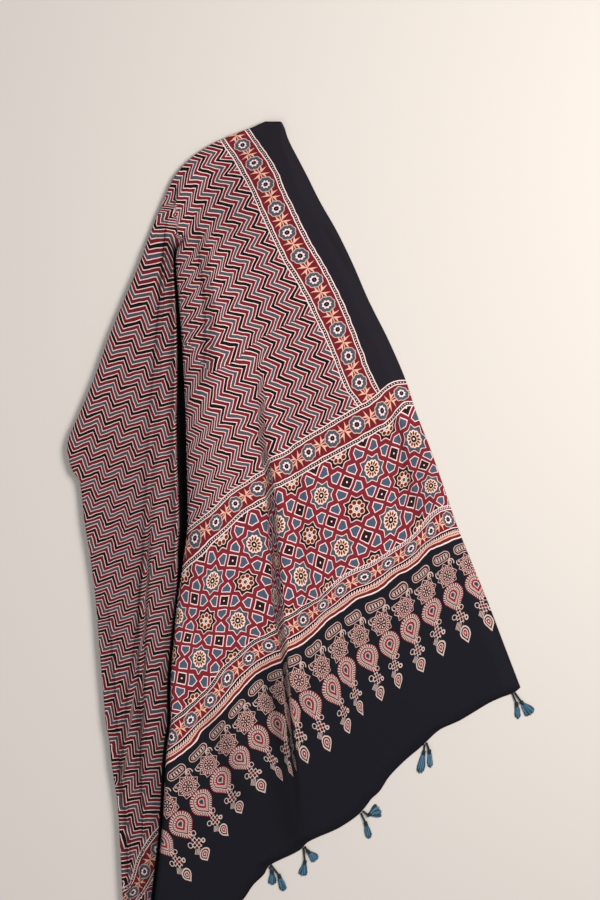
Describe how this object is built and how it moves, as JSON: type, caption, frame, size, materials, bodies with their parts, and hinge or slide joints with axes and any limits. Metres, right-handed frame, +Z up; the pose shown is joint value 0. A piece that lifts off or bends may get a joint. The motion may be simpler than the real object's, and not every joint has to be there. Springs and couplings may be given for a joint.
{
  "type": "block-printed cotton dupatta with tassels",
  "caption": "Ajrakh block-printed cotton dupatta with a tasselled hem, laid out folded on a surface in the folds of a one-shoulder drape.",
  "frame": {"origin": "middle of the underside, on the surface the cloth lies on", "axes": "+Z up from the surface; +Y along the drape's length, towards its shoulder end; +X to the right, towards the selvedge"},
  "size_m": [0.6563, 1.188, 0.0332],
  "materials": {
    "printed_cotton": "fine plain-weave cotton, block printed in madder red, indigo black, blue-grey and cream, matt with a faint sheen",
    "blue_cotton": "soft unspun cotton strands, dyed steel blue, matt"
  },
  "bodies": {
    "root": {"cloth": "printed_cotton", "tassel_01": "blue_cotton", "tassel_02": "blue_cotton", "tassel_03": "blue_cotton", "tassel_04": "blue_cotton", "tassel_05": "blue_cotton", "tassel_06": "blue_cotton", "tassel_07": "blue_cotton", "tassel_08": "blue_cotton", "tassel_09": "blue_cotton", "tassel_10": "blue_cotton", "tassel_11": "blue_cotton", "tassel_12": "blue_cotton", "tassel_13": "blue_cotton", "tassel_14": "blue_cotton"}
  },
  "joints": []
}
